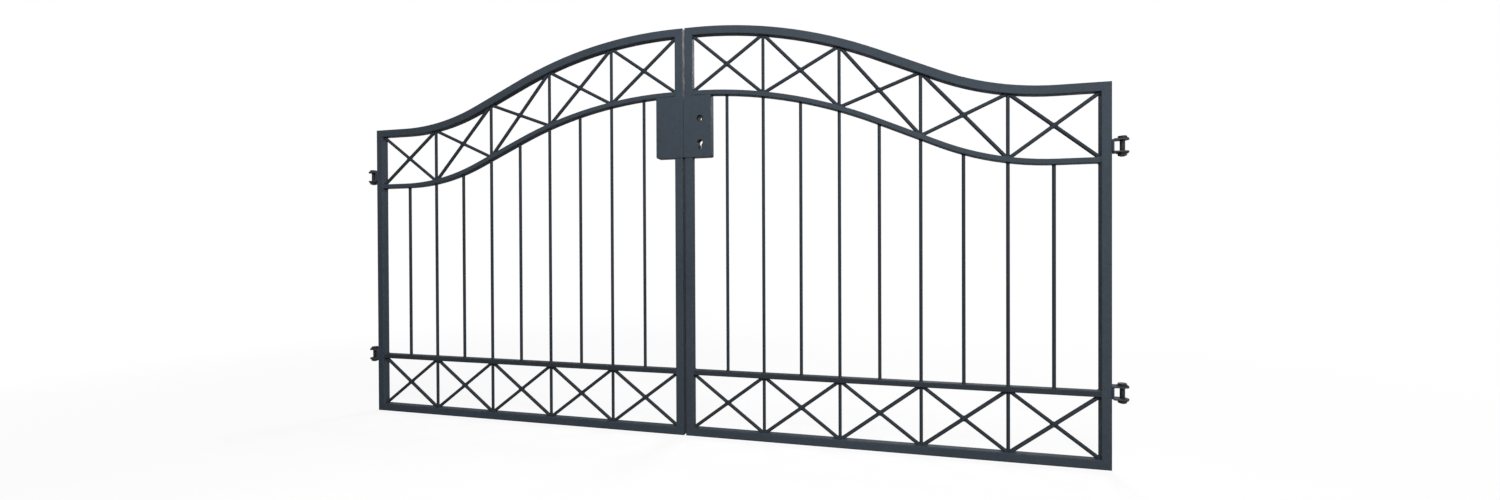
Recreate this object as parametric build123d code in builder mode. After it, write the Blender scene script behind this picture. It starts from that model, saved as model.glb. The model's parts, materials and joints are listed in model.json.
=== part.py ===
from build123d import *
from math import atan, cos, degrees, radians, sin, sqrt, tan
import os

# Double garden gate, millimetres. Origin on the ground line midway between the two leaves.
# +X is the viewer's right, the front faces -Y, +Z is up. The left leaf mirrors the right one.

# Leaf frame of square tube
leaf_width = 1160
meeting_gap = 7
hinge_height = 1000
rise = 250
tube = 25
tube_wall = 2
tube_corner = 3

# Swan curve of the top: level lead, hollow arc, straight slope, crown arc
lead_run = 125
slope_run = 185
lower_radius = 725

# Flat tube rails inside the frame
rail_height = 15
rail_wall = 1.5
rail_corner = 2.5
lower_rail_base = 187.5
arch_drop = 193

# Round bars and braces
bar_count = 9
bar_diameter = 9.5
strut_step = 2
brace_diameter = 10.5

# Clevis hinges on the outer stiles
lower_hinge_height = 200
upper_hinge_drop = 165
bolt_offset = 27
bolt_diameter = 12
ear_radius = 15
ear_gap = 28
strip = 4
strip_bend = 2
hex_across = 19
head_height = 5
nut_height = 6
bolt_end = 1.5
washer_diameter = 27
washer_thickness = 2
running_clearance = 0.05
washer_clearance = 0.5
seat_clearance = 0.2

# Sheet boxes at the meeting stiles
box_height = 187
box_reach = 60
box_corner = 5
sheet = 2
seam = 0.8
weld_gap = 0.5
handle_hole = 20
handle_drop = 70
backset = 50
lock_centres = 72
cylinder_round = 17
cylinder_slot = 10
cylinder_height = 33

# Mortise lock inside the right box
case_thickness = 15
case_wall = 1.5
case_depth = 78
case_above = 50
case_below = 101
case_clearance = 0.5
plate_width = 20
plate_margin = 13
faceplate = 3
strike_plate = 2
slide_clearance = 0.3
strike_clearance = 1.5
hub_diameter = 22
hub_width = 11
boss_diameter = 16
spindle = 8
arm_length = 20
arm_tip = 3.5
arm_thickness = 5
follower_turn = 35
arm_gap = 0.4
tail_gap = 0.5
latch_rise = 22
latch_height = 22
latch_thickness = 11
latch_length = 30
latch_bevel = 7
tail_thickness = 2.5
tail_height = 12
lug_width = 5
spring_thickness = 0.8
spring_width = 6
bolt_drop = 40
bolt_height = 30
bolt_length = 38
bolt_tail = 30
screw_diameter = 5
screw_head = 9
screw_head_height = 1.8
screw_length = 12
screw_clearance = 0.1

# Worked out from the sizes above, for the right leaf
meeting_face = meeting_gap / 2
hinge_face = meeting_face + leaf_width
field_start = meeting_face + tube
field_end = hinge_face - tube
meeting_height = hinge_height + rise
crest_run = tube
curve_run = leaf_width - lead_run - crest_run
sweep_angle = 2 * atan(rise / (curve_run + slope_run))
upper_radius = (curve_run - slope_run * cos(sweep_angle)) / sin(sweep_angle) - lower_radius
lower_rail_top = lower_rail_base + rail_height
hinge_x = hinge_face + bolt_offset
ear_span = ear_gap + 2 * strip
bar_pitch = (field_end - field_start + bar_diameter) / (bar_count + 1)
bar_places = [field_end + bar_diameter / 2 - bar_pitch * (k + 1) for k in range(bar_count)]
strut_places = bar_places[strut_step - 1 :: strut_step]
hinge_heights = {"upper": hinge_height - upper_hinge_drop, "lower": lower_hinge_height}


def curve_height(x):
    """Height of the top rail's upper edge at x."""
    along = hinge_face - lead_run - x
    back = x - meeting_face - crest_run
    lower_run = lower_radius * sin(sweep_angle)
    if along <= 0:
        return hinge_height
    if back <= 0:
        return meeting_height
    if along <= lower_run:
        return hinge_height + lower_radius - sqrt(lower_radius**2 - along**2)
    if back <= upper_radius * sin(sweep_angle):
        return meeting_height - upper_radius + sqrt(upper_radius**2 - back**2)
    return hinge_height + lower_radius * (1 - cos(sweep_angle)) + (along - lower_run) * tan(sweep_angle)


box_start = seam / 2
box_edge = field_start + box_reach
box_top = curve_height(box_edge) - arch_drop - rail_height - weld_gap
box_base = box_top - box_height
lock_x = meeting_face + backset
handle_z = box_top - handle_drop
cylinder_z = handle_z - lock_centres
case_end = meeting_face + case_depth
case_top = handle_z + case_above
case_base = handle_z - case_below
case_floor = case_wall - case_thickness / 2
case_lid = case_thickness / 2 - case_wall
plate_top = case_top + plate_margin
plate_base = case_base - plate_margin
plate_screws = [plate_base + plate_margin / 2, plate_top - plate_margin / 2]
nose_x = meeting_face - faceplate
latch_z = handle_z + latch_rise
bolt_z = handle_z - bolt_drop
rest_angle = radians(follower_turn / 2)
arm_end = (lock_x + arm_length * sin(rest_angle), handle_z + arm_length * cos(rest_angle))
lug_x = arm_end[0] + arm_tip + arm_gap
lug_z = arm_end[1]
tail_front = arm_thickness / 2 + tail_gap


# Drawing helpers


def swan_line(drop, inset):
    """The swan curve, lowered by drop and moved square to itself by inset, from hinge side to crown."""
    low_x = hinge_face - lead_run
    low_z = hinge_height - drop + lower_radius
    low_r = lower_radius + inset
    high_x = meeting_face + crest_run
    high_z = meeting_height - drop - upper_radius
    high_r = upper_radius - inset
    half = sweep_angle / 2
    low_arc = [(low_x - low_r * sin(a), low_z - low_r * cos(a)) for a in (0, half, sweep_angle)]
    high_arc = [(high_x + high_r * sin(a), high_z + high_r * cos(a)) for a in (sweep_angle, half, 0)]
    Line((hinge_face, low_arc[0][1]), low_arc[0])
    ThreePointArc(*low_arc)
    Line(low_arc[2], high_arc[0])
    ThreePointArc(*high_arc)
    Line(high_arc[2], (meeting_face, high_arc[2][1]))


def tube_section(width, height, wall, corner):
    """Hollow tube section with rounded corners."""
    RectangleRounded(width, height, corner)
    RectangleRounded(width - 2 * wall, height - 2 * wall, corner - wall, mode=Mode.SUBTRACT)


def block(x, y, z, mode=Mode.ADD):
    """Box between two limits on each axis."""
    with Locations((sum(x) / 2, sum(y) / 2, sum(z) / 2)):
        Box(x[1] - x[0], y[1] - y[0], z[1] - z[0], mode=mode)


def across(x, z, radius, depth, mode=Mode.ADD):
    """Round pin or hole along Y, centred on the leaf's middle plane."""
    with Locations(Location((x, 0, z), (90, 0, 0))):
        Cylinder(radius, depth, mode=mode)


def mitre(x, z, side, up):
    """Plane at 45 degrees through an outer frame corner, facing the rail."""
    return Plane(origin=(x, 0, z), x_dir=(0, 1, 0), z_dir=(side, 0, up))


def rod(start, end, diameter):
    """Round rod past both ends of a line in the leaf's middle plane."""
    run = Vector(*end) - Vector(*start)
    with BuildSketch(Plane(origin=start, x_dir=(0, 1, 0), z_dir=run).offset(-diameter)) as section:
        Circle(diameter / 2)
    extrude(section.sketch, amount=run.length + 2 * diameter)


def slab_cut(start, end, thickness):
    """Cuts a slot along a line in the leaf's middle plane."""
    run = Vector(*end) - Vector(*start)
    with BuildSketch(Plane(origin=start, x_dir=(0, 1, 0), z_dir=run).offset(-thickness)) as section:
        Rectangle(2 * tube, thickness)
    extrude(section.sketch, amount=run.length + 2 * thickness, mode=Mode.SUBTRACT)


def cylinder_profile():
    """Outline of the lock cylinder: a round head over a narrow round-ended tail."""
    tail_z = cylinder_z + cylinder_round / 2 - cylinder_height + cylinder_slot / 2
    with Locations((lock_x, cylinder_z)):
        Circle(cylinder_round / 2)
    with Locations((lock_x, tail_z)):
        Circle(cylinder_slot / 2)
    with Locations((lock_x, (cylinder_z + tail_z) / 2)):
        Rectangle(cylinder_slot, cylinder_z - tail_z)


def cylinder_cut(depth):
    """Cuts the lock cylinder's outline along Y."""
    with BuildSketch(Plane.XZ) as outline:
        cylinder_profile()
    extrude(outline.sketch, amount=depth, both=True, mode=Mode.SUBTRACT)


def bolt_windows(x, clearance):
    """Cuts the windows that the latch and the dead bolt slide through."""
    half = latch_thickness / 2 + clearance
    for centre, height in ((latch_z, latch_height), (bolt_z, bolt_height)):
        reach = height / 2 + clearance
        block(x, (-half, half), (centre - reach, centre + reach), mode=Mode.SUBTRACT)


def screw_form(face, inward, clearance=0, mode=Mode.ADD):
    """Countersunk plate screws along X, or their holes, with heads level with a plate's face."""
    turn = 90 * inward
    for z in plate_screws:
        with Locations(Location((face + inward * screw_head_height / 2, 0, z), (0, turn, 0))):
            Cone(screw_head / 2 + clearance, screw_diameter / 2 + clearance, screw_head_height, mode=mode)
        with Locations(Location((face + inward * screw_length / 2, 0, z), (0, turn, 0))):
            Cylinder(screw_diameter / 2 + clearance, screw_length, mode=mode)


def save(name, part):
    part.label = name
    export_step(part, f"parts/{name}.step")


def mirrored(part, plane):
    """Mirror image of a piece."""
    with BuildPart() as copy:
        mirror(part, about=plane)
    return copy


def save_pair(name, part):
    save(f"right_{name}", part)
    save(f"left_{name}", mirrored(part, Plane.YZ).part)


os.makedirs("parts", exist_ok=True)

# Hinge stile: upright tube, mitred at both ends
with BuildPart() as hinge_stile:
    with BuildSketch(Plane.XY):
        with Locations((hinge_face - tube / 2, 0)):
            tube_section(tube, tube, tube_wall, tube_corner)
    extrude(amount=hinge_height)
    split(bisect_by=mitre(hinge_face, hinge_height, -1, 1), keep=Keep.BOTTOM)
    split(bisect_by=mitre(hinge_face, 0, -1, -1), keep=Keep.BOTTOM)
save_pair("hinge_stile", hinge_stile.part)

# Meeting stile: upright tube, mitred at both ends
with BuildPart() as meeting_stile:
    with BuildSketch(Plane.XY):
        with Locations((meeting_face + tube / 2, 0)):
            tube_section(tube, tube, tube_wall, tube_corner)
    extrude(amount=meeting_height)
    split(bisect_by=mitre(meeting_face, meeting_height, 1, 1), keep=Keep.BOTTOM)
    split(bisect_by=mitre(meeting_face, 0, 1, -1), keep=Keep.BOTTOM)

# The right meeting stile has a slot for the lock case and two screw holes
with BuildPart() as right_meeting_stile:
    add(meeting_stile.part)
    slot_half = case_thickness / 2 + case_clearance
    slot_z = (case_base - case_clearance, case_top + case_clearance)
    block((meeting_face - tube, field_start + tube), (-slot_half, slot_half), slot_z, mode=Mode.SUBTRACT)
    screw_form(nose_x, 1, screw_clearance, Mode.SUBTRACT)
save("right_meeting_stile", right_meeting_stile.part)

# The left meeting stile has keeper windows in its inner wall and two screw holes
with BuildPart() as left_meeting_stile:
    add(mirrored(meeting_stile.part, Plane.YZ).part)
    bolt_windows((-meeting_face - tube / 2, 0), strike_clearance)
    screw_form(strike_plate - meeting_face, -1, screw_clearance, Mode.SUBTRACT)
save("left_meeting_stile", left_meeting_stile.part)

# Bottom rail: level tube, mitred at both ends
with BuildPart() as bottom_rail:
    with BuildSketch(Plane.YZ.offset(meeting_face)):
        with Locations((0, tube / 2)):
            tube_section(tube, tube, tube_wall, tube_corner)
    extrude(amount=leaf_width)
    split(bisect_by=mitre(hinge_face, 0, -1, -1), keep=Keep.TOP)
    split(bisect_by=mitre(meeting_face, 0, 1, -1), keep=Keep.TOP)
save_pair("bottom_rail", bottom_rail.part)

# Lower rail: level flat tube between the stiles
with BuildPart() as lower_rail:
    with BuildSketch(Plane.YZ.offset(field_start)):
        with Locations((0, lower_rail_base + rail_height / 2)):
            tube_section(tube, rail_height, rail_wall, rail_corner)
    extrude(amount=field_end - field_start)
save_pair("lower_rail", lower_rail.part)

# Top rail: square tube bent to the swan curve, mitred at both ends
with BuildPart() as top_rail:
    with BuildLine(Plane.XZ) as top_path:
        swan_line(0, tube / 2)
    with BuildSketch(Plane(origin=top_path.line @ 0, x_dir=(0, 1, 0), z_dir=top_path.line % 0)):
        tube_section(tube, tube, tube_wall, tube_corner)
    sweep(path=top_path.line)
    split(bisect_by=mitre(hinge_face, hinge_height, -1, 1), keep=Keep.TOP)
    split(bisect_by=mitre(meeting_face, meeting_height, 1, 1), keep=Keep.TOP)
save_pair("top_rail", top_rail.part)

# Arched rail: flat tube bent to the same curve below the top rail, cut square at the stiles
with BuildPart() as arched_rail:
    with BuildLine(Plane.XZ) as arch_path:
        swan_line(arch_drop, rail_height / 2)
    with BuildSketch(Plane(origin=arch_path.line @ 0, x_dir=(0, 1, 0), z_dir=arch_path.line % 0)):
        tube_section(tube, rail_height, rail_wall, rail_corner)
    sweep(path=arch_path.line)
    split(bisect_by=Plane.YZ.offset(field_start), keep=Keep.TOP)
    split(bisect_by=Plane.YZ.offset(field_end), keep=Keep.BOTTOM)
save_pair("arched_rail", arched_rail.part)

# Clear space under the arched rail, which the upright bars fill
with BuildPart() as bar_field:
    with BuildSketch(Plane.XZ):
        with BuildLine() as bar_outline:
            swan_line(arch_drop, rail_height)
            start, end = bar_outline.line @ 0, bar_outline.line @ 1
            Polyline(end, (end.X, lower_rail_top), (start.X, lower_rail_top), start)
        make_face()
    extrude(amount=tube, both=True)

# Clear space between the arched rail and the top rail
with BuildPart() as upper_field:
    with BuildSketch(Plane.XZ):
        with BuildLine():
            with BuildLine() as upper_edge:
                swan_line(0, tube)
            with BuildLine() as lower_edge:
                swan_line(arch_drop, 0)
            Line(upper_edge.line @ 0, lower_edge.line @ 0)
            Line(upper_edge.line @ 1, lower_edge.line @ 1)
        make_face()
    extrude(amount=tube, both=True)

# Clear space between the bottom rail and the lower rail
with BuildPart() as lower_field:
    block((field_start, field_end), (-tube, tube), (tube, lower_rail_base))

# Upright bars from the lower rail to the arched rail
with BuildPart() as bars:
    with BuildSketch(Plane.XY.offset(lower_rail_top)):
        with Locations(*[(x, 0) for x in bar_places]):
            Circle(bar_diameter / 2)
    extrude(amount=meeting_height - lower_rail_top)
    add(bar_field.part, mode=Mode.INTERSECT)
save_pair("bars", bars.part)


def struts(field):
    """Short uprights in a band, in line with every second bar."""
    with BuildPart() as group:
        with BuildSketch(Plane.XY):
            with Locations(*[(x, 0) for x in strut_places]):
                Circle(bar_diameter / 2)
        extrude(amount=meeting_height)
        add(field, mode=Mode.INTERSECT)
    return group


save_pair("upper_struts", struts(upper_field.part).part)
save_pair("lower_struts", struts(lower_field.part).part)

# Panels of a band between stiles and struts, as limits along X from hinge side to crown side
strut_half = bar_diameter / 2
panel_ends = [field_end] + [x - strut_half for x in strut_places]
panel_starts = [x + strut_half for x in strut_places] + [field_start]
panels = list(zip(panel_starts, panel_ends))


def upper_corners(x):
    return (x, 0, curve_height(x) - arch_drop), (x, 0, curve_height(x) - tube)


def lower_corners(x):
    return (x, 0, tube), (x, 0, lower_rail_base)


def brace_pair(field, corners):
    """Crossed braces in each panel of a band: one whole brace, and one in two halves that meet it."""
    with BuildPart() as panel_space:
        for left, right in panels:
            block((left, right), (-tube, tube), (0, meeting_height))
        add(field, mode=Mode.INTERSECT)
    with BuildPart() as whole:
        for left, right in panels:
            rod(corners(left)[0], corners(right)[1], brace_diameter)
        add(panel_space.part, mode=Mode.INTERSECT)
    with BuildPart() as halves:
        for left, right in panels:
            rod(corners(left)[1], corners(right)[0], brace_diameter)
        add(panel_space.part, mode=Mode.INTERSECT)
        for left, right in panels:
            slab_cut(corners(left)[0], corners(right)[1], brace_diameter)
    return whole, halves


for band, field, corners in (
    ("upper", upper_field.part, upper_corners),
    ("lower", lower_field.part, lower_corners),
):
    whole, halves = brace_pair(field, corners)
    save_pair(f"{band}_long_braces", whole.part)
    save_pair(f"{band}_short_braces", halves.part)


def hinge_bracket(height):
    """U of bent strip welded to the hinge stile, with a round-ended ear above and below the gap."""
    low = height - ear_span / 2
    with BuildPart() as bracket:
        with BuildSketch(Plane.XZ) as profile:
            with Locations((hinge_face + bolt_offset / 2, height)):
                Rectangle(bolt_offset, ear_span)
            fillet(profile.vertices().group_by(Axis.X)[0], strip + strip_bend)
            with BuildSketch(Plane.XZ, mode=Mode.SUBTRACT) as gap:
                with Locations((hinge_face + strip + bolt_offset / 2, height)):
                    Rectangle(bolt_offset, ear_gap)
                fillet(gap.vertices().group_by(Axis.X)[0], strip_bend)
        extrude(amount=ear_radius, both=True)
        for base in (low, height + ear_gap / 2):
            with BuildSketch(Plane.XY.offset(base)):
                with Locations((hinge_x, 0)):
                    Circle(ear_radius)
            extrude(amount=strip)
        with Locations((hinge_x, 0, height)):
            Cylinder(bolt_diameter / 2 + running_clearance, 2 * ear_span, mode=Mode.SUBTRACT)
    return bracket


for level, height in hinge_heights.items():
    save_pair(f"{level}_hinge_bracket", hinge_bracket(height).part)

# Heights of the hinge hardware from the middle of a hinge
washer_seat = ear_span / 2 + seat_clearance
head_seat = washer_seat + washer_thickness
bolt_low = head_seat + nut_height + bolt_end


def hinge_hexes(base, height, bore=0):
    """Hexagons of a bolt head or nut at every hinge, from base upwards, with a bore if it is a nut."""
    for level in hinge_heights.values():
        with BuildSketch(Plane.XY.offset(level + base)) as hexes:
            with Locations((-hinge_x, 0), (hinge_x, 0)):
                RegularPolygon(hex_across / 2, 6, major_radius=False)
                if bore:
                    Circle(bore / 2, mode=Mode.SUBTRACT)
        extrude(hexes.sketch, amount=height)


# Hinge bolts: hexagon head above, shank through both ears
with BuildPart() as hinge_bolts:
    hinge_hexes(head_seat, head_height)
    for level in hinge_heights.values():
        with Locations(*[(side * hinge_x, 0, level - bolt_low) for side in (-1, 1)]):
            Cylinder(bolt_diameter / 2, bolt_low + head_seat, align=(Align.CENTER, Align.CENTER, Align.MIN))
save("hinge_bolts", hinge_bolts.part)

# Hinge nuts under the lower ears
with BuildPart() as hinge_nuts:
    hinge_hexes(-head_seat - nut_height, nut_height, bolt_diameter + 2 * running_clearance)
save("hinge_nuts", hinge_nuts.part)

# Washers between the ears and the bolt heads and nuts
with BuildPart() as hinge_washers:
    for level in hinge_heights.values():
        for base in (level + washer_seat, level - head_seat):
            with BuildSketch(Plane.XY.offset(base)):
                with Locations((-hinge_x, 0), (hinge_x, 0)):
                    Circle(washer_diameter / 2)
                    Circle(bolt_diameter / 2 + washer_clearance, mode=Mode.SUBTRACT)
            extrude(amount=washer_thickness)
save("hinge_washers", hinge_washers.part)

# Sheet boxes under the arched rails: front and back plates that lap the stile and close the gap
with BuildPart() as box_plate:
    with BuildSketch(Plane.XZ.offset(tube / 2)) as plate_outline:
        with Locations(((box_start + box_edge) / 2, (box_base + box_top) / 2)):
            Rectangle(box_edge - box_start, box_height)
        fillet(plate_outline.vertices().group_by(Axis.X)[-1].sort_by(Axis.Y)[0], box_corner)
    extrude(amount=sheet)
box_plates = {"front": box_plate.part, "back": mirrored(box_plate.part, Plane.XZ).part}
for side, plate in box_plates.items():
    save(f"left_box_{side}_plate", mirrored(plate, Plane.YZ).part)

# The right plates have the handle hole and the cylinder cut-out
for side, plate in box_plates.items():
    with BuildPart() as lock_plate:
        add(plate)
        across(lock_x, handle_z, handle_hole / 2, 2 * tube, mode=Mode.SUBTRACT)
        cylinder_cut(tube)
    save(f"right_box_{side}_plate", lock_plate.part)

# Rim strip between the plates of a box
with BuildPart() as box_rim:
    with BuildSketch(Plane.XZ) as rim_outline:
        with Locations(((field_start + box_edge) / 2, (box_base + box_top) / 2)):
            Rectangle(box_reach, box_height)
        fillet(rim_outline.vertices().group_by(Axis.X)[-1].sort_by(Axis.Y)[0], box_corner)
    extrude(amount=tube / 2, both=True)
    rim_z = (box_base + sheet, box_top - sheet)
    block((field_start - tube, box_edge - sheet), (-tube, tube), rim_z, mode=Mode.SUBTRACT)
save_pair("box_rim", box_rim.part)

# Lock case: a tray that is open to the back
with BuildPart() as lock_case:
    block((meeting_face, case_end), (-case_thickness / 2, case_lid), (case_base, case_top))
    inside_x = (meeting_face + case_wall, case_end - case_wall)
    inside_z = (case_base + case_wall, case_top - case_wall)
    block(inside_x, (case_floor, case_thickness), inside_z, mode=Mode.SUBTRACT)
    bolt_windows((meeting_face - case_wall, meeting_face + 2 * case_wall), slide_clearance)
    across(lock_x, handle_z, boss_diameter / 2 + running_clearance, 2 * tube, mode=Mode.SUBTRACT)
    cylinder_cut(tube)
save("lock_case", lock_case.part)

# Cover of the lock case
with BuildPart() as lock_cover:
    block((meeting_face, case_end), (case_lid, case_thickness / 2), (case_base, case_top))
    across(lock_x, handle_z, boss_diameter / 2 + running_clearance, 2 * tube, mode=Mode.SUBTRACT)
    cylinder_cut(tube)
save("lock_cover", lock_cover.part)

# Faceplate of the lock on the right meeting stile
with BuildPart() as lock_faceplate:
    block((nose_x, meeting_face), (-plate_width / 2, plate_width / 2), (plate_base, plate_top))
    bolt_windows((nose_x - faceplate, meeting_face + faceplate), slide_clearance)
    screw_form(nose_x, 1, screw_clearance, Mode.SUBTRACT)
save("lock_faceplate", lock_faceplate.part)

# Strike plate on the left meeting stile
with BuildPart() as strike:
    strike_x = (-meeting_face, strike_plate - meeting_face)
    block(strike_x, (-plate_width / 2, plate_width / 2), (plate_base, plate_top))
    bolt_windows((-2 * meeting_face, meeting_face), strike_clearance)
    screw_form(strike_plate - meeting_face, -1, screw_clearance, Mode.SUBTRACT)
save("strike_plate", strike.part)

# Countersunk screws of the two plates
with BuildPart() as faceplate_screws:
    screw_form(nose_x, 1)
save("faceplate_screws", faceplate_screws.part)
with BuildPart() as strike_screws:
    screw_form(strike_plate - meeting_face, -1)
save("strike_screws", strike_screws.part)

# Follower: hub with a square spindle hole and the arm that draws the latch back
with BuildPart() as follower:
    across(lock_x, handle_z, hub_diameter / 2, hub_width)
    across(lock_x, handle_z, boss_diameter / 2, case_thickness)
    with BuildSketch(Plane.XZ):
        with Locations(arm_end):
            Circle(arm_tip)
        with Locations(Location(((lock_x + arm_end[0]) / 2, (handle_z + arm_end[1]) / 2), -degrees(rest_angle))):
            Rectangle(2 * arm_tip, arm_length)
    extrude(amount=arm_thickness / 2, both=True)
    with BuildSketch(Plane.XZ):
        with Locations(Location((lock_x, handle_z), -degrees(rest_angle))):
            Rectangle(spindle, spindle)
    extrude(amount=case_thickness, both=True, mode=Mode.SUBTRACT)
save("lock_follower", follower.part)

# Latch bolt, held back level with the faceplate: bevelled head, tail plate and lug behind the arm
with BuildPart() as latch_bolt:
    head_y = (-latch_thickness / 2, latch_thickness / 2)
    block((nose_x, nose_x + latch_length), head_y, (latch_z - latch_height / 2, latch_z + latch_height / 2))
    nose_edges = latch_bolt.edges().filter_by(Axis.Z).group_by(Axis.X)[0]
    chamfer(nose_edges.sort_by(Axis.Y)[0], latch_bevel)
    tail_y = (tail_front, tail_front + tail_thickness)
    tail_z = (latch_z - tail_height / 2, latch_z + tail_height / 2)
    block((nose_x + latch_length, lug_x + lug_width), tail_y, tail_z)
    block((lug_x, lug_x + lug_width), (-arm_thickness / 2, tail_front), (lug_z, tail_z[1]))
save("latch_bolt", latch_bolt.part)

# Dead bolt, drawn back level with the faceplate: block head and tail plate
with BuildPart() as dead_bolt:
    block((nose_x, nose_x + bolt_length), head_y, (bolt_z - bolt_height / 2, bolt_z + bolt_height / 2))
    block(
        (nose_x + bolt_length, nose_x + bolt_length + bolt_tail),
        tail_y,
        (bolt_z - tail_height / 2, bolt_z + tail_height / 2),
    )
save("dead_bolt", dead_bolt.part)

# Leaf spring that presses the latch out: a bent strip on the back wall of the case
with BuildPart() as latch_spring:
    foot = case_end - case_wall
    tip = lug_x + lug_width + slide_clearance
    knee = case_top - case_wall
    inner_knee = lug_z + (knee - lug_z) * (foot - tip - 2 * spring_thickness) / (foot - tip)
    with BuildSketch(Plane.XZ):
        with BuildLine():
            Polyline(
                (foot, lug_z),
                (foot, knee),
                (tip, lug_z),
                (tip + spring_thickness, lug_z),
                (foot - spring_thickness, inner_knee),
                (foot - spring_thickness, lug_z),
                close=True,
            )
        make_face()
    extrude(amount=spring_width / 2, both=True)
save("latch_spring", latch_spring.part)

latch_travel = 2 * arm_length * sin(rest_angle)
print(f"Curve turns {degrees(sweep_angle):.2f} degrees, crown radius {upper_radius:.1f}, bar pitch {bar_pitch:.2f}")
print(f"Handle hole at x {lock_x:.2f} z {handle_z:.2f}, cylinder z {cylinder_z:.2f}")
print(f"Box from z {box_base:.2f} to {box_top:.2f}, hinge axes at x {hinge_x:.2f}")
print(f"Latch travel {latch_travel:.3f}, {latch_travel / radians(follower_turn):.5f} per radian of follower")
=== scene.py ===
import json
from math import cos, pi, radians, sin, sqrt, tan, tau

import bpy
import numpy as np
from mathutils import Matrix, Vector


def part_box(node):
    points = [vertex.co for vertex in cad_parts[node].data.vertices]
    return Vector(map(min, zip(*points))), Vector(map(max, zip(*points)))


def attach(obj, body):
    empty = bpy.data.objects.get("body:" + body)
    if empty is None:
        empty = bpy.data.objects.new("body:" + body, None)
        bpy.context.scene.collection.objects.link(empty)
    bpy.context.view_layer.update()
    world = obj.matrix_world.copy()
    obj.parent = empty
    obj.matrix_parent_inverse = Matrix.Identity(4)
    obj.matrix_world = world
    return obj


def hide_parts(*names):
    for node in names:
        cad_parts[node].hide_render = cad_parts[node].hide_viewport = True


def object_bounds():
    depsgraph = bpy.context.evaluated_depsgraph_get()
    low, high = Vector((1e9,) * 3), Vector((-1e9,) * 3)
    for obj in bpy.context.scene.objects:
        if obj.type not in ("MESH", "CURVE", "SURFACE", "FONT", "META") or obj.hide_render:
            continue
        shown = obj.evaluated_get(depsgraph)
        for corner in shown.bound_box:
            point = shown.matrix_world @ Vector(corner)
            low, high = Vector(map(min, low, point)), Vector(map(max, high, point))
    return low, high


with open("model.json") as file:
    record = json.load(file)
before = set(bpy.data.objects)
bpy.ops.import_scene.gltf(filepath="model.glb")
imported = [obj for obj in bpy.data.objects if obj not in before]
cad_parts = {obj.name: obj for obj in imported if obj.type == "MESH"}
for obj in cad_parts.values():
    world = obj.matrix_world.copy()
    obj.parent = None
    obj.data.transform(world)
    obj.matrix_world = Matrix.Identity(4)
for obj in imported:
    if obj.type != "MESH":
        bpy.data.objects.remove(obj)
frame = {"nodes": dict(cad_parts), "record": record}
cad_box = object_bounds()
nodes = frame["nodes"]

# Double garden gate: looks around the fixed frame, in metres. The front faces -Y.

# Camera, fitted to a picture 1500 pixels wide
picture_width = 1500
focal_pixels = 543.92
sensor = 36
camera_place = (0.5933, -1.5848, 0.5792)
camera_yaw = radians(13.749)
camera_tilt = radians(-0.332)
camera_roll = radians(-0.227)

# Studio
floor_radius = 45
floor_sides = 64
floor_shade = 0.14
floor_bounce = 0.12
shade_near = 1.2
shade_far = 3.2
ambient = 0.05
key_place = (0.8, -2.6, 2.3)
key_size = 1.6
key_power = 122
fill_place = (6.0, -3.4, 1.0)
fill_size = 2.0
fill_power = 130
back_place = (1.2, 4.6, 3.4)
back_size = 2.0
back_power = 190
aim = (0.0, 0.0, 0.7)
white = (1, 1, 1, 1)

# Members of a leaf
both_sides = ("left", "right")
upright_rods = ("bars", "upper_struts", "lower_struts")
braces = ("upper_long_braces", "upper_short_braces", "lower_long_braces", "lower_short_braces")

# Coat colours of the frame, and a darker copy of the same paint for the thin rods and lower rails, as
# painted shade
frame_coat = ((0.0385, 0.0485, 0.061), (0.0465, 0.058, 0.073))
rod_shaded_coat = ((0.0275, 0.0335, 0.041), (0.033, 0.040, 0.049))

# Gloss, and depths of the bumps in the finishes
coat_gloss = 0.015
steel_gloss = 0.15
peel_depth = 0.00007
grain_depth = 0.000012
turning_depth = 0.00003
spot_depth = 0.00005
rolling_depth = 0.00002

# Weld beads
bead_step = 0.0008
bead_points = 12
bead_sides = 8
bead_ripple = 0.0024
bead_swell = 0.14
bead_drift = 0.08
bead_waves = (1, 2, 3)
bead_tip = 0.05
rod_bead = 0.0015
rail_bead = 0.0016
bracket_bead = 0.0021
box_bead = 0.0013
mitre_bead = 0.0003
bracket_inset = 0.0008
bracket_end = 0.0035
bracket_round = 0.003
bracket_points = 64
bracket_square = 2
box_inset = 0.002

# Hinge bolts
thread_pitch = 0.00175
thread_depth = 0.0009
hex_chamfer = radians(30)
hex_flat = 0.93
thread_rows_per_turn = 6
washer_edge = 0.0004

# Plate screws
screw_pitch = 0.0008
screw_thread = 0.0004
recess_reach = 0.56
recess_slope = 0.8
recess_depth = 0.0014
recess_arm = radians(15)

# Edges of sheet and strip
sheet_edge = 0.0006
bracket_edge = 0.0006
bolt_edge = 0.0006
edge_segments = 2
seam_join = 0.00001
flat_angle = radians(0.5)
sharp_angle = radians(40)
turned_sides = 48

# Limits for reading the frame's faces
seam_digits = 6
end_slope = 0.2
same_way = 0.999
mitre_lean = 0.7
least_area = 1e-12
least_length = 1e-9
angle_slack = 1e-6


# Reading the frame


def solids(node):
    """Each solid of a CAD node as (points, triangles), with the points at its seams joined."""
    mesh = nodes[node].data
    mesh.calc_loop_triangles()
    points = np.array([v.co for v in mesh.vertices], float)
    triangles = np.array([t.vertices for t in mesh.loop_triangles])
    rounded = np.round(points, seam_digits)
    _, first, joined = np.unique(rounded, axis=0, return_index=True, return_inverse=True)
    points = points[first]
    triangles = joined.reshape(-1)[triangles]
    group = np.arange(len(points))
    while True:
        lowest = group[triangles].min(axis=1)
        merged = group.copy()
        np.minimum.at(merged, triangles.ravel(), np.repeat(lowest, 3))
        merged = merged[merged]
        if (merged == group).all():
            break
        group = merged
    owner = group[triangles[:, 0]]
    return [(points, triangles[owner == one]) for one in np.unique(owner)]


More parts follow.
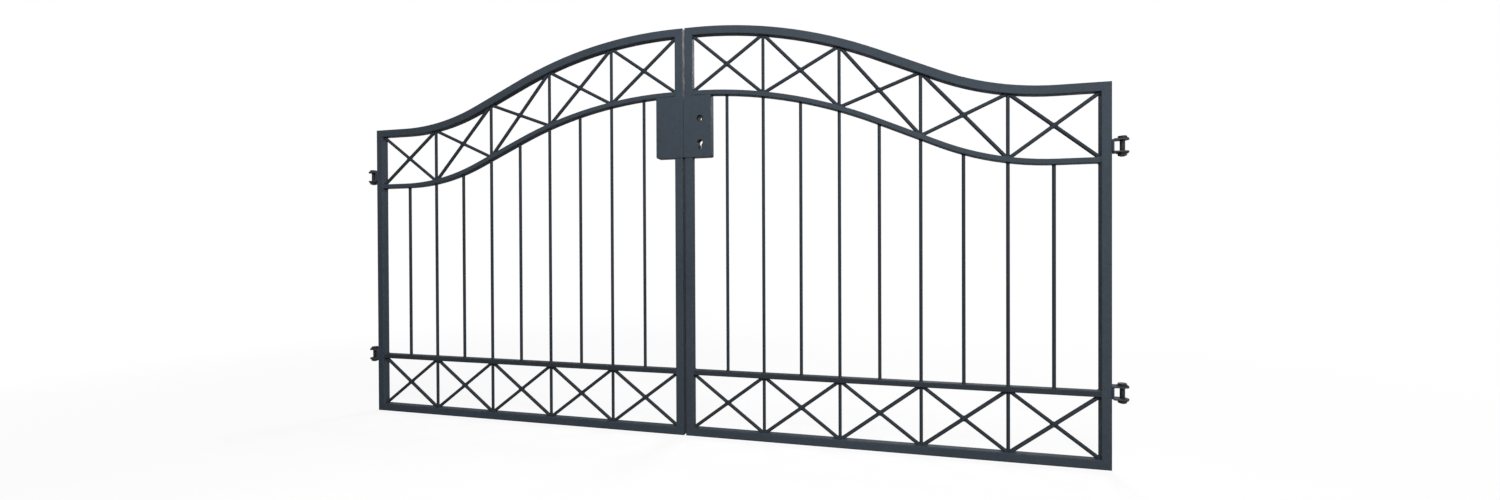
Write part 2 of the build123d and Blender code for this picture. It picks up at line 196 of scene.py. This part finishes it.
def own_points(node):
    """Points of each solid of a CAD node."""
    return [points[np.unique(triangles)] for points, triangles in solids(node)]


def normals_of(points, triangles):
    """Unit normals of triangles, and their areas times two."""
    a, b, c = (points[triangles[:, k]] for k in range(3))
    normal = np.cross(b - a, c - a)
    area = np.linalg.norm(normal, axis=1)
    return normal / np.maximum(area, least_area)[:, None], area


def border_loops(points, triangles, chosen):
    """Closed lines of points round the chosen triangles, longest first."""
    def sides(some):
        return {(int(t[k]), int(t[(k + 1) % 3])) for t in some for k in range(3)}

    inside = sides(triangles[chosen])
    onward = {a: b for a, b in inside if (b, a) not in inside}
    loops = []
    while onward:
        start, place = onward.popitem()
        loop = [start]
        while place != start and place in onward:
            loop.append(place)
            place = onward.pop(place)
        if place == start and len(loop) > 2:
            loops.append(points[loop])
    return sorted(loops, key=lambda loop: -line_length(loop))


def line_length(loop):
    return np.linalg.norm(np.roll(loop, -1, axis=0) - loop, axis=1).sum()


def rod_ends(points, triangles):
    """Lines where a round rod's side meets its cut ends."""
    normal, area = normals_of(points, triangles)
    spread = (normal * area[:, None]).T @ normal
    axis = np.linalg.eigh(spread)[1][:, 0]
    return border_loops(points, triangles, np.abs(normal @ axis) > end_slope)


def facing(points, triangles, direction):
    """Outer line of the flat end faces that look along a direction."""
    normal, _ = normals_of(points, triangles)
    loops = border_loops(points, triangles, normal @ np.array(direction) > same_way)
    return loops[:1]


# Mesh building


def spaced(loop, step, closed=True):
    """The same line with evenly spaced points."""
    line = np.vstack([loop, loop[:1]]) if closed else np.asarray(loop, float)
    along = np.concatenate([[0], np.cumsum(np.linalg.norm(np.diff(line, axis=0), axis=1))])
    count = max(bead_points, int(round(along[-1] / step)))
    places = np.linspace(0, along[-1], count, endpoint=not closed)
    return np.stack([np.interp(places, along, line[:, k]) for k in range(3)], axis=1)


def bead_thickness(count, radius, seed, closed):
    """Radius along a bead: ripples, a slow drift, and thin tips if the line is open."""
    wander = np.random.default_rng(seed)
    share = np.arange(count) / count
    ripples = max(2, round(count * bead_step / bead_ripple))
    drift = np.zeros(count)
    for waves in bead_waves:
        strength = wander.uniform(-1, 1)
        drift += strength * np.sin(share * tau * waves + wander.uniform(0, tau))
    thick = radius * (1 + bead_swell * np.sin(share * ripples * tau) + bead_drift * drift)
    if not closed:
        reach = np.minimum(np.arange(count), np.arange(count)[::-1]) / (radius / bead_step)
        thick = thick * np.sqrt(np.clip(reach, bead_tip, 1))
    return thick


def bead(loop, radius, seed, closed=True):
    """Weld bead with ripples along a line, as (points, faces), inside the CAD box."""
    line = spaced(loop, bead_step, closed)
    count = len(line)
    if closed:
        ahead = np.roll(line, -1, axis=0) - np.roll(line, 1, axis=0)
    else:
        ahead = np.gradient(line, axis=0)
    ahead /= np.linalg.norm(ahead, axis=1)[:, None]
    hint = np.linalg.svd(line - line.mean(axis=0))[2][2] if closed else np.array([0.0, 1.0, 0.0])
    side = np.cross(ahead, hint)
    side /= np.maximum(np.linalg.norm(side, axis=1), least_length)[:, None]
    up = np.cross(ahead, side)
    thick = bead_thickness(count, radius, seed, closed)
    turn = np.arange(bead_sides) / bead_sides * tau
    ring = np.cos(turn)[None, :, None] * side[:, None, :] + np.sin(turn)[None, :, None] * up[:, None, :]
    points = line[:, None, :] + ring * thick[:, None, None]
    low, high = (np.array(corner) for corner in cad_box)
    points = np.clip(points.reshape(-1, 3), low, high)
    return points, ring_faces(count, bead_sides, closed)


def ring_faces(count, sides, closed):
    """Quads between rings of points, with end caps if the line is open."""
    faces = []
    for i in range(count if closed else count - 1):
        here, there = i * sides, (i + 1) % count * sides
        for k in range(sides):
            after = (k + 1) % sides
            faces.append((here + k, here + after, there + after, there + k))
    if not closed:
        faces.append(tuple(range(sides))[::-1])
        faces.append(tuple(range((count - 1) * sides, count * sides)))
    return faces


def turned(rows, place, start_angle=0.0, closed=False):
    """Form about an upright axis from (radius, height) rows, either of which may vary with the angle."""
    angles = start_angle + np.arange(turned_sides) / turned_sides * tau
    rings = []
    for row in rows:
        radius, height = (v(angles) if callable(v) else np.full(turned_sides, v) for v in row)
        rings.append(np.stack([radius * np.cos(angles), radius * np.sin(angles), height], axis=1))
    return np.vstack(rings) + np.array(place), ring_faces(len(rows), turned_sides, closed)


def piece(name, forms, body, material):
    """One mesh object made of several closed forms, riding on a CAD body."""
    points, faces, start = [], [], 0
    for form_points, form_faces in forms:
        points.append(form_points)
        faces.extend(tuple(start + i for i in face) for face in form_faces)
        start += len(form_points)
    mesh = bpy.data.meshes.new(name)
    mesh.from_pydata(np.vstack(points).tolist(), [], faces)
    mesh.materials.append(material)
    mesh.shade_smooth()
    mesh.set_sharp_from_angle(angle=sharp_angle)
    mesh.validate()
    made = bpy.data.objects.new(name, mesh)
    bpy.context.scene.collection.objects.link(made)
    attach(made, body)
    return made


# Materials


class Shader:
    """A material's node tree with short calls for the nodes it needs."""

    def __init__(self, name):
        self.material = bpy.data.materials.new(name)
        self.material.use_nodes = True
        self.tree = self.material.node_tree
        self.surface = self.tree.nodes["Principled BSDF"]
        self.place = self.node("TexCoord").outputs["Object"]

    def node(self, kind, **values):
        made = self.tree.nodes.new("ShaderNode" + kind)
        for key, value in values.items():
            setattr(made, key, value)
        return made

    def link(self, source, target):
        self.tree.links.new(source, target)

    def stretched(self, scale):
        """Object coordinates, scaled differently along each axis."""
        mapping = self.node("Mapping")
        mapping.inputs["Scale"].default_value = scale
        self.link(self.place, mapping.inputs["Vector"])
        return mapping.outputs["Vector"]

    def noise(self, scale, detail, roughness=0.5, place=None):
        made = self.node("TexNoise")
        made.inputs["Scale"].default_value = scale
        made.inputs["Detail"].default_value = detail
        made.inputs["Roughness"].default_value = roughness
        self.link(place or self.place, made.inputs["Vector"])
        return made.outputs["Fac"]

    def ramp(self, source, *stops):
        """Colours or values along a source between 0 and 1."""
        made = self.node("ValToRGB")
        line = made.color_ramp.elements
        while len(line) < len(stops):
            line.new(0.5)
        for element, (position, value) in zip(line, stops):
            element.position = position
            element.color = (*value, 1) if isinstance(value, tuple) else (value, value, value, 1)
        self.link(source, made.inputs["Fac"])
        return made.outputs["Color"]

    def times(self, first, second):
        """Product of two colours."""
        made = self.node("Mix", data_type="RGBA", blend_type="MULTIPLY")
        share, *factors = [s for s in made.inputs if s.enabled]
        share.default_value = 1.0
        for value, socket in zip((first, second), factors):
            self.link(value, socket)
        return [s for s in made.outputs if s.enabled][0]

    def bumps(self, *layers):
        """Bump layers as (height, depth in metres)."""
        normal = None
        for height, depth in layers:
            made = self.node("Bump")
            made.inputs["Distance"].default_value = depth
            self.link(height, made.inputs["Height"])
            if normal:
                self.link(normal, made.inputs["Normal"])
            normal = made.outputs["Normal"]
        self.link(normal, self.surface.inputs["Normal"])

    def set(self, **values):
        for key, value in values.items():
            socket = self.surface.inputs[key.replace("_", " ")]
            if isinstance(value, bpy.types.NodeSocket):
                self.link(value, socket)
            else:
                socket.default_value = value


def powder_coat(name, colours):
    """Satin anthracite powder coat: orange peel, fine grain, faint mottling and slight changes of tone."""
    shader = Shader(name)
    cloud = shader.noise(scale=3.0, detail=4.0)
    blotch = shader.noise(scale=60.0, detail=4.0, roughness=0.6)
    dust = shader.noise(scale=900.0, detail=1.0)
    sheen = shader.noise(scale=28.0, detail=5.0)
    peel = shader.noise(scale=420.0, detail=2.0)
    grain = shader.noise(scale=2600.0, detail=1.0)
    tone = shader.ramp(cloud, (0.3, colours[0]), (0.7, colours[1]))
    mottle = shader.ramp(blotch, (0.32, 0.94), (0.68, 1.06))
    speck = shader.ramp(dust, (0.36, 0.9), (0.5, 1.0), (0.62, 1.0), (0.8, 1.3))
    shader.set(Base_Color=shader.times(shader.times(tone, mottle), speck))
    shader.set(Roughness=shader.ramp(sheen, (0.3, 0.40), (0.7, 0.56)), Specular_IOR_Level=coat_gloss)
    shader.bumps((peel, peel_depth), (grain, grain_depth))
    return shader.material


def blackened_steel():
    """Oiled black steel of the hinge bolts, with turning marks and worn spots."""
    shader = Shader("blackened_steel")
    marks = shader.noise(scale=1.0, detail=3.0, place=shader.stretched((160, 160, 2400)))
    spots = shader.noise(scale=130.0, detail=5.0, roughness=0.6)
    shader.set(Base_Color=shader.ramp(spots, (0.35, (0.012, 0.012, 0.013)), (0.75, (0.034, 0.032, 0.031))))
    shader.set(Roughness=shader.ramp(marks, (0.3, 0.42), (0.7, 0.6)))
    shader.set(Metallic=0.2, Specular_IOR_Level=steel_gloss)
    shader.bumps((marks, turning_depth), (spots, spot_depth))
    return shader.material


def black_zinc():
    """Black zinc plating on the lock's case and plates, kept near black so the lock's holes and the gap
    between the leaves read dark: partly painted shade. Rolled lines, a faint bronze and blue bloom.
    """
    shader = Shader("black_zinc")
    lines = shader.noise(scale=1.0, detail=4.0, place=shader.stretched((2600, 2600, 60)))
    bloom = shader.noise(scale=70.0, detail=4.0)
    # Near-black tones of the plating, partly painted shade for the lock's holes
    bronze, black, blue = (0.017, 0.016, 0.013), (0.012, 0.012, 0.013), (0.013, 0.016, 0.020)
    shader.set(Base_Color=shader.ramp(bloom, (0.3, bronze), (0.5, black), (0.7, blue)))
    shader.set(Roughness=shader.ramp(lines, (0.3, 0.36), (0.7, 0.52)), Metallic=0.5)
    shader.bumps((lines, rolling_depth))
    return shader.material


def bright_zinc():
    """Bright zinc plating on the lock's bolts and spring: fine ground lines and a cloudy sheen."""
    shader = Shader("bright_zinc")
    lines = shader.noise(scale=1.0, detail=4.0, place=shader.stretched((2600, 2600, 60)))
    cloud = shader.noise(scale=45.0, detail=4.0)
    shader.set(Base_Color=shader.ramp(cloud, (0.3, (0.42, 0.43, 0.44)), (0.7, (0.58, 0.58, 0.56))))
    shader.set(Roughness=shader.ramp(lines, (0.3, 0.28), (0.7, 0.46)), Metallic=1.0)
    shader.bumps((lines, rolling_depth))
    return shader.material


slot_materials = {
    "powder_coat": powder_coat("powder_coat", frame_coat),
    "hinge_steel": blackened_steel(),
    "black_zinc": black_zinc(),
    "bolt_steel": bright_zinc(),
}
for row in frame["record"]["subparts"]:
    slots = nodes[row["node"]].data.materials
    slots.clear()
    slots.append(slot_materials[row["material_slot"]])
# The rods, braces, lower rails and the rods' beads take a darker copy of the frame's coat: painted shade
painted_shade_coat = powder_coat("powder_coat_painted_shade", rod_shaded_coat)
for side in both_sides:
    for n in (*upright_rods, *braces, "lower_rail"):
        nodes[f"{side}_{n}"].data.materials[0] = painted_shade_coat


# Weld beads of a leaf


def weld_piece(name, side, lines, radius, closed=True, coat=slot_materials["powder_coat"]):
    """Beads along lines, as one piece riding on a leaf."""
    forms = [bead(line, radius, seed, closed) for seed, line in enumerate(lines)]
    return piece(name, forms, f"{side}_leaf", coat)


def rod_welds(side):
    """Beads round the ends of bars, struts and braces."""
    for kind, members in (("bar", upright_rods), ("brace", braces)):
        lines = [line for n in members for solid in solids(f"{side}_{n}") for line in rod_ends(*solid)]
        # The rod beads take the darker copy of the coat: painted shade
        weld_piece(f"{side}_{kind}_welds", side, lines, rod_bead, coat=painted_shade_coat)


def rail_welds(side):
    """Beads where the inner rails meet the stiles."""
    lines = []
    for n in ("lower_rail", "arched_rail"):
        for solid in solids(f"{side}_{n}"):
            for direction in ((1, 0, 0), (-1, 0, 0)):
                lines += facing(*solid, direction)
    weld_piece(f"{side}_rail_welds", side, lines, rail_bead)


def mitre_welds(side):
    """Low ground beads along the mitres at the frame's corners."""
    lines = []
    for n in ("hinge_stile", "meeting_stile"):
        for points, triangles in solids(f"{side}_{n}"):
            normal, _ = normals_of(points, triangles)
            slanted = (np.abs(normal[:, [0, 2]]) > mitre_lean).all(axis=1)
            lines += border_loops(points, triangles, slanted)[:2]
    weld_piece(f"{side}_mitre_welds", side, lines, mitre_bead)


def bracket_welds(side):
    """Beads round the foot of each hinge bracket on the hinge stile, along rounded rectangles."""
    stile_low, stile_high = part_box(f"{side}_hinge_stile")
    face = stile_low.x if side == "left" else stile_high.x
    turn = np.arange(bracket_points) / bracket_points * tau
    x = np.full(bracket_points, face)
    lines = []
    for level in ("upper", "lower"):
        low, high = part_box(f"{side}_{level}_hinge_bracket")
        middle = (low.z + high.z) / 2
        across = stile_high.y - bracket_inset
        tall = (high.z - low.z) / 2 - bracket_end
        y = np.clip(bracket_square * np.cos(turn), -1, 1) * (across - bracket_round)
        z = np.clip(bracket_square * np.sin(turn), -1, 1) * (tall - bracket_round)
        y = y + bracket_round * np.cos(turn)
        z = middle + z + bracket_round * np.sin(turn)
        lines.append(np.stack([x, y, z], axis=1))
    weld_piece(f"{side}_bracket_welds", side, lines, bracket_bead)


def box_welds(side):
    """Beads along the top and bottom edges of the box plates."""
    stile_low, stile_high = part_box(f"{side}_meeting_stile")
    lines = []
    for face, y in (("front", stile_low.y), ("back", stile_high.y)):
        low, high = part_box(f"{side}_box_{face}_plate")
        lines.append([(stile_low.x + box_inset, y, low.z), (stile_high.x - box_inset, y, low.z)])
        ends = (stile_low.x, high.x) if side == "right" else (low.x, stile_high.x)
        lines.append([(ends[0] + box_inset, y, high.z), (ends[1] - box_inset, y, high.z)])
    weld_piece(f"{side}_box_welds", side, lines, box_bead, closed=False)


for side in both_sides:
    rod_welds(side)
    rail_welds(side)
    mitre_welds(side)
    bracket_welds(side)
    box_welds(side)


# Hinge hardware


def upright(points):
    """Axis place, radii from it, heights, and the angle of the farthest corner of an upright solid."""
    middle = (points.min(axis=0) + points.max(axis=0)) / 2
    flat = points[:, :2] - middle[:2]
    radii = np.linalg.norm(flat, axis=1)
    corner = flat[radii.argmax()]
    return (middle[0], middle[1], 0), radii, points[:, 2], np.arctan2(corner[1], corner[0])


def hex_rows(across, low, high, corner):
    """Side of a hexagon head with its corners turned off above and below."""
    def radius(angles):
        return across / 2 / np.cos((angles - corner + pi) % (pi / 3) - pi / 6)

    def drop(angles):
        return np.maximum(radius(angles) - across / 2 * hex_flat, 0) * tan(hex_chamfer)

    return [
        (across / 2 * hex_flat, low),
        (radius, lambda angles: low + drop(angles)),
        (radius, lambda angles: high - drop(angles)),
        (across / 2 * hex_flat, high),
    ]


def thread_rows(radius, low, high, pitch, depth):
    """Rows of a helical thread."""
    def groove(height):
        def cut(angles):
            share = ((height - low) / pitch - angles / tau) % 1
            return radius - depth * (1 - np.abs(2 * share - 1))
        return cut

    heights = np.arange(low, high, pitch / thread_rows_per_turn)
    return [(groove(height), height) for height in heights]


def nut(points):
    """Hexagon nut with a bore that is countersunk at both ends."""
    place, radii, heights, corner = upright(points)
    low, high, bore = heights.min(), heights.max(), radii.min()
    rows = hex_rows(radii.max() * sqrt(3), low, high, corner)
    rows += [(bore + thread_depth, high), (bore, high - thread_depth)]
    rows += [(bore, low + thread_depth), (bore + thread_depth, low)]
    return turned(rows, place, corner, closed=True)


def bolt(points, nut_tops):
    """Hexagon bolt, threaded up to the top of its nut."""
    place, radii, heights, corner = upright(points)
    low, high = heights.min(), heights.max()
    across = radii.max() * sqrt(3)
    head = heights[radii > across / 2].min()
    shank = radii[heights < head].max()
    thread_end = min(top for top in nut_tops if top > low)
    rows = [(shank - thread_depth, low)]
    rows += thread_rows(shank, low + thread_depth, thread_end, thread_pitch, thread_depth)
    rows += [(shank, thread_end), (shank, head), *hex_rows(across, head, high, corner)]
    return turned(rows, place, corner)


def washer(points):
    """Flat washer with broken edges."""
    place, radii, heights, _ = upright(points)
    low, high, outer, inner = heights.min(), heights.max(), radii.max(), radii.min()
    rows = [(outer - washer_edge, low), (outer, low + washer_edge)]
    rows += [(outer, high - washer_edge), (outer - washer_edge, high)]
    rows += [(inner + washer_edge, high), (inner, high - washer_edge)]
    rows += [(inner, low + washer_edge), (inner + washer_edge, low)]
    return turned(rows, place, closed=True)


def hinge_piece(name, forms, node):
    made = piece(name, forms, "hinge_pins", slot_materials["hinge_steel"])
    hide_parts(node)


nuts = own_points("hinge_nuts")
nut_tops = [points[:, 2].max() for points in nuts]
bolts = [bolt(points, nut_tops) for points in own_points("hinge_bolts")]
washers = [washer(points) for points in own_points("hinge_washers")]
hinge_piece("hinge_nuts_hex", [nut(points) for points in nuts], "hinge_nuts")
hinge_piece("hinge_bolts_threaded", bolts, "hinge_bolts")
hinge_piece("hinge_washers_stamped", washers, "hinge_washers")


# Countersunk screws of the faceplate and the strike plate


def recess(reach):
    """Outline of a cross recess, as a radius that varies with the angle."""
    def radius(angles):
        off = np.abs((angles + pi / 4) % (pi / 2) - pi / 4)
        side = reach * tan(recess_arm) / np.sin(np.maximum(off, recess_arm))
        return np.where(off <= recess_arm + angle_slack, reach / np.cos(off), side)
    return radius


def screw(points):
    """Threaded screw along X with a flat head and a cross recess."""
    middle = (points.min(axis=0) + points.max(axis=0)) / 2
    radii = np.linalg.norm(points[:, 1:] - middle[1:], axis=1)
    head = radii.max()
    face = points[radii.argmax(), 0]
    length = np.ptp(points[:, 0])
    out = np.sign(face - middle[0])
    depth = np.abs(points[:, 0] - face)
    shank = radii[depth > length / 2].max()
    cone = depth[radii < (shank + head) / 2]
    neck = length - cone[cone > 0].min()
    reach = head * recess_reach
    rows = [(shank - screw_thread, 0.0)]
    rows += thread_rows(shank, screw_thread, neck - screw_pitch, screw_pitch, screw_thread)
    rows += [(shank, neck), (head, length), (recess(reach), length)]
    rows += [(recess(reach * recess_slope), length - recess_depth)]
    form, faces = turned(rows, (0, 0, 0))
    across, up, along = form.T
    laid = [out * (along - length) + face, middle[1] + out * across, middle[2] + up]
    return np.stack(laid, axis=1), faces


for node, body in (("faceplate_screws", "right_leaf"), ("strike_screws", "left_leaf")):
    forms = [screw(points) for points in own_points(node)]
    made = piece(f"{node}_cross", forms, body, slot_materials["black_zinc"])
    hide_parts(node)


# Soft edges on cut and bent sheet


def soften(node, width):
    """Joins a CAD node's seams and rounds its sharp edges, inside its own shape."""
    made = nodes[node]
    joined = made.modifiers.new("joined", "WELD")
    joined.merge_threshold = seam_join
    flat = made.modifiers.new("flat", "DECIMATE")
    flat.decimate_type = "DISSOLVE"
    flat.angle_limit = flat_angle
    edge = made.modifiers.new("edge", "BEVEL")
    edge.width = width
    edge.segments = edge_segments
    edge.limit_method = "ANGLE"
    edge.angle_limit = sharp_angle
    edge.harden_normals = True


for side in both_sides:
    for face in ("front", "back"):
        soften(f"{side}_box_{face}_plate", sheet_edge)
    for level in ("upper", "lower"):
        soften(f"{side}_{level}_hinge_bracket", bracket_edge)
for node in ("latch_bolt", "dead_bolt"):
    soften(node, bolt_edge)


# Studio


def camera():
    lens = bpy.data.cameras.new("camera")
    lens.sensor_width = sensor
    lens.lens = focal_pixels / picture_width * sensor
    made = bpy.data.objects.new("camera", lens)
    turn = Matrix.Rotation(camera_yaw, 4, "Z") @ Matrix.Rotation(pi / 2 + camera_tilt, 4, "X")
    made.matrix_world = Matrix.Translation(camera_place) @ turn @ Matrix.Rotation(camera_roll, 4, "Z")
    bpy.context.scene.collection.objects.link(made)
    bpy.context.scene.camera = made


def softbox(name, place, size, power):
    lamp = bpy.data.lights.new(name, "AREA")
    lamp.size = size
    lamp.energy = power
    made = bpy.data.objects.new(name, lamp)
    turn = (Vector(aim) - Vector(place)).to_track_quat("-Z", "Y")
    made.matrix_world = Matrix.Translation(place) @ turn.to_matrix().to_4x4()
    bpy.context.scene.collection.objects.link(made)


def seen_share(tree):
    """1 for rays that show the background: from the camera, off gloss or through glass."""
    path = tree.nodes.new("ShaderNodeLightPath")
    share = path.outputs["Is Camera Ray"]
    for other in ("Is Glossy Ray", "Is Transmission Ray"):
        larger = tree.nodes.new("ShaderNodeMath")
        larger.operation = "MAXIMUM"
        tree.links.new(share, larger.inputs[0])
        tree.links.new(path.outputs[other], larger.inputs[1])
        share = larger.outputs["Value"]
    return share


def white_world():
    world = bpy.data.worlds.new("studio")
    world.use_nodes = True
    tree = world.node_tree
    light = tree.nodes["Background"]
    light.inputs["Color"].default_value = white
    light.inputs["Strength"].default_value = ambient
    backdrop = tree.nodes.new("ShaderNodeBackground")
    backdrop.inputs["Color"].default_value = white
    mix = tree.nodes.new("ShaderNodeMixShader")
    tree.links.new(seen_share(tree), mix.inputs["Fac"])
    tree.links.new(light.outputs[0], mix.inputs[1])
    tree.links.new(backdrop.outputs[0], mix.inputs[2])
    tree.links.new(mix.outputs[0], tree.nodes["World Output"].inputs["Surface"])
    bpy.context.scene.world = world


def floor_material():
    """White to the camera, with a soft shadow near the gate, and a dim floor to all other light."""
    material = bpy.data.materials.new("floor")
    material.use_nodes = True
    tree = material.node_tree
    tree.nodes.clear()
    plain = tree.nodes.new("ShaderNodeBsdfDiffuse")
    plain.inputs["Color"].default_value = (floor_bounce, floor_bounce, floor_bounce, 1)
    shade = tree.nodes.new("ShaderNodeBsdfDiffuse")
    shade.inputs["Color"].default_value = white
    glow = tree.nodes.new("ShaderNodeEmission")
    place = tree.nodes.new("ShaderNodeTexCoord")
    away = tree.nodes.new("ShaderNodeVectorMath")
    away.operation = "LENGTH"
    fade = tree.nodes.new("ShaderNodeMapRange")
    span = {"From Min": shade_near, "From Max": shade_far, "To Min": floor_shade, "To Max": 0}
    for socket, value in span.items():
        fade.inputs[socket].default_value = value
    both = tree.nodes.new("ShaderNodeMixShader")
    mix = tree.nodes.new("ShaderNodeMixShader")
    output = tree.nodes.new("ShaderNodeOutputMaterial")
    tree.links.new(place.outputs["Object"], away.inputs[0])
    tree.links.new(away.outputs["Value"], fade.inputs["Value"])
    tree.links.new(fade.outputs["Result"], both.inputs["Fac"])
    tree.links.new(glow.outputs[0], both.inputs[1])
    tree.links.new(shade.outputs[0], both.inputs[2])
    tree.links.new(seen_share(tree), mix.inputs["Fac"])
    tree.links.new(plain.outputs[0], mix.inputs[1])
    tree.links.new(both.outputs[0], mix.inputs[2])
    tree.links.new(mix.outputs[0], output.inputs["Surface"])
    return material


def floor():
    """Round floor under the gate."""
    turns = [k / floor_sides * tau for k in range(floor_sides)]
    corners = [(floor_radius * cos(turn), floor_radius * sin(turn), cad_box[0].z) for turn in turns]
    mesh = bpy.data.meshes.new("floor")
    mesh.from_pydata(corners, [], [tuple(range(floor_sides))])
    mesh.materials.append(floor_material())
    made = bpy.data.objects.new("floor", mesh)
    bpy.context.scene.collection.objects.link(made)


camera()
softbox("key", key_place, key_size, key_power)
softbox("fill", fill_place, fill_size, fill_power)
softbox("back", back_place, back_size, back_power)
white_world()
floor()
bpy.context.scene.view_settings.view_transform = "Standard"
